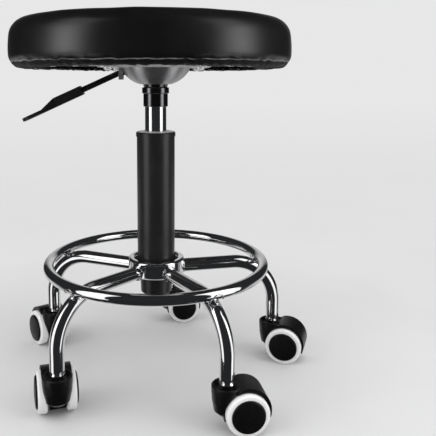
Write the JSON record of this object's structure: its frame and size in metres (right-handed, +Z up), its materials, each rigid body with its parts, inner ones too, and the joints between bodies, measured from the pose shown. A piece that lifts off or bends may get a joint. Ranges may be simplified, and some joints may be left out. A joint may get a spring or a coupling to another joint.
{
  "type": "rolling salon stool",
  "caption": "Round padded stool on a gas lift column with a side lever, a five-leg tube base with foot ring, and twin-wheel casters.",
  "frame": {"origin": "on the floor, on the axis of the column", "axes": "+Z up along the column, +X to the right with the lever on the left (-X), +Y towards the back; seat at its lowest height"},
  "size_m": [0.4134, 0.3784, 0.4776],
  "materials": {
    "chrome": "mirror-bright chrome plate",
    "stem_chrome": "bright chrome plate",
    "cylinder_chrome": "ground and chromed",
    "column_black": "gloss black powder coat",
    "neck_black": "gloss black paint",
    "bell_steel": "satin plated pressed steel",
    "zinc_steel": "bright zinc plate",
    "lever_black": "satin black paint",
    "grip_plastic": "fine-grain black plastic",
    "pale_plastic": "plain acetal",
    "grey_plastic": "plain nylon",
    "caster_plastic": "semi-gloss black nylon",
    "hub_cap_plastic": "semi-gloss black nylon",
    "tyre_white": "smooth white polyurethane",
    "vinyl_black": "semi-gloss black vinyl with a fine grain",
    "dust_fabric": "black non-woven cloth",
    "plywood": "raw plywood"
  },
  "bodies": {
    "base": {"hub": "chrome", "foot_ring": "chrome", "leg_sockets": "grey_plastic", "column_tube": "column_black", "guide_bush": "pale_plastic", "thrust_bearing": "zinc_steel", "leg_1": "chrome", "leg_2": "chrome", "leg_3": "chrome", "leg_4": "chrome", "leg_5": "chrome", "stem_1": "stem_chrome", "stem_2": "stem_chrome", "stem_3": "stem_chrome", "stem_4": "stem_chrome", "stem_5": "stem_chrome"},
    "piston": {"piston_rod": "zinc_steel", "retaining_clip": "zinc_steel"},
    "seat": {"gas_cylinder": "cylinder_chrome", "socket_collar": "neck_black", "bell_cover": "bell_steel", "seat_plate": "zinc_steel", "seat_bolts": "zinc_steel", "dust_cover": "dust_fabric", "seat_board": "plywood", "seat_cushion": "vinyl_black", "lever_pin": "zinc_steel"},
    "lever": {"lever_rod": "lever_black", "lever_grip": "grip_plastic"},
    "valve": {"valve_button": "zinc_steel"},
    "caster_1": {"housing_1": "caster_plastic", "axle_1": "zinc_steel"},
    "wheel_left_1": {"wheel_left_1": "hub_cap_plastic", "tyre_left_1": "tyre_white"},
    "wheel_right_1": {"wheel_right_1": "hub_cap_plastic", "tyre_right_1": "tyre_white"},
    "caster_2": {"housing_2": "caster_plastic", "axle_2": "zinc_steel"},
    "wheel_left_2": {"wheel_left_2": "hub_cap_plastic", "tyre_left_2": "tyre_white"},
    "wheel_right_2": {"wheel_right_2": "hub_cap_plastic", "tyre_right_2": "tyre_white"},
    "caster_3": {"housing_3": "caster_plastic", "axle_3": "zinc_steel"},
    "wheel_left_3": {"wheel_left_3": "hub_cap_plastic", "tyre_left_3": "tyre_white"},
    "wheel_right_3": {"wheel_right_3": "hub_cap_plastic", "tyre_right_3": "tyre_white"},
    "caster_4": {"housing_4": "caster_plastic", "axle_4": "zinc_steel"},
    "wheel_left_4": {"wheel_left_4": "hub_cap_plastic", "tyre_left_4": "tyre_white"},
    "wheel_right_4": {"wheel_right_4": "hub_cap_plastic", "tyre_right_4": "tyre_white"},
    "caster_5": {"housing_5": "caster_plastic", "axle_5": "zinc_steel"},
    "wheel_left_5": {"wheel_left_5": "hub_cap_plastic", "tyre_left_5": "tyre_white"},
    "wheel_right_5": {"wheel_right_5": "hub_cap_plastic", "tyre_right_5": "tyre_white"}
  },
  "joints": [
    {"name": "seat_swivel", "type": "hinge", "parent": "base", "child": "piston", "pos_m": [0, 0, 0.109], "axis": [0, 0, 1], "continuous": true},
    {"name": "seat_height", "type": "slide", "parent": "piston", "child": "seat", "axis": [0, 0, 1], "range_m": [0, 0.12]},
    {"name": "lever_tilt", "type": "hinge", "parent": "seat", "child": "lever", "pos_m": [-0.03, 0, 0.4055], "axis": [0, 1, 0], "range_deg": [0, 6], "stiffness_Nm_per_rad": 0.6, "springref_deg": -2.86},
    {"name": "valve_press", "type": "slide", "parent": "seat", "child": "valve", "axis": [0, 0, -1], "range_m": [0, 0.0032], "stiffness_N_per_m": 400, "springref_m": -0.002},
    {"name": "caster_swivel_1", "type": "hinge", "parent": "base", "child": "caster_1", "pos_m": [-0.11275, -0.12522, 0.0535], "axis": [0, 0, 1], "continuous": true},
    {"name": "wheel_spin_left_1", "type": "hinge", "parent": "caster_1", "child": "wheel_left_1", "pos_m": [-0.11826, -0.106, 0.025], "axis": [-0.9613, -0.2756, 0], "continuous": true},
    {"name": "wheel_spin_right_1", "type": "hinge", "parent": "caster_1", "child": "wheel_right_1", "pos_m": [-0.11826, -0.106, 0.025], "axis": [-0.9613, -0.2756, 0], "continuous": true},
    {"name": "caster_swivel_2", "type": "hinge", "parent": "base", "child": "caster_2", "pos_m": [0.08425, -0.14592, 0.0535], "axis": [0, 0, 1], "continuous": true},
    {"name": "wheel_spin_left_2", "type": "hinge", "parent": "caster_2", "child": "wheel_left_2", "pos_m": [0.10405, -0.14314, 0.025], "axis": [-0.1392, 0.9903, 0], "continuous": true},
    {"name": "wheel_spin_right_2", "type": "hinge", "parent": "caster_2", "child": "wheel_right_2", "pos_m": [0.10405, -0.14314, 0.025], "axis": [-0.1392, 0.9903, 0], "continuous": true},
    {"name": "caster_swivel_3", "type": "hinge", "parent": "base", "child": "caster_3", "pos_m": [0.16482, 0.03503, 0.0535], "axis": [0, 0, 1], "continuous": true},
    {"name": "wheel_spin_left_3", "type": "hinge", "parent": "caster_3", "child": "wheel_left_3", "pos_m": [0.18361, 0.02819, 0.025], "axis": [0.342, 0.9397, 0], "continuous": true},
    {"name": "wheel_spin_right_3", "type": "hinge", "parent": "caster_3", "child": "wheel_right_3", "pos_m": [0.18361, 0.02819, 0.025], "axis": [0.342, 0.9397, 0], "continuous": true},
    {"name": "caster_swivel_4", "type": "hinge", "parent": "base", "child": "caster_4", "pos_m": [0.01761, 0.16758, 0.0535], "axis": [0, 0, 1], "continuous": true},
    {"name": "wheel_spin_left_4", "type": "hinge", "parent": "caster_4", "child": "wheel_left_4", "pos_m": [0.03731, 0.17105, 0.025], "axis": [-0.1736, 0.9848, 0], "continuous": true},
    {"name": "wheel_spin_right_4", "type": "hinge", "parent": "caster_4", "child": "wheel_right_4", "pos_m": [0.03731, 0.17105, 0.025], "axis": [-0.1736, 0.9848, 0], "continuous": true},
    {"name": "caster_swivel_5", "type": "hinge", "parent": "base", "child": "caster_5", "pos_m": [-0.15393, 0.06853, 0.0535], "axis": [0, 0, 1], "continuous": true},
    {"name": "wheel_spin_left_5", "type": "hinge", "parent": "caster_5", "child": "wheel_left_5", "pos_m": [-0.1654, 0.08492, 0.025], "axis": [-0.8192, -0.5736, 0], "continuous": true},
    {"name": "wheel_spin_right_5", "type": "hinge", "parent": "caster_5", "child": "wheel_right_5", "pos_m": [-0.1654, 0.08492, 0.025], "axis": [-0.8192, -0.5736, 0], "continuous": true}
  ],
  "couplings": [
    {"joint": "valve_press", "follows": "lever_tilt", "m_per_rad": 0.03}
  ]
}
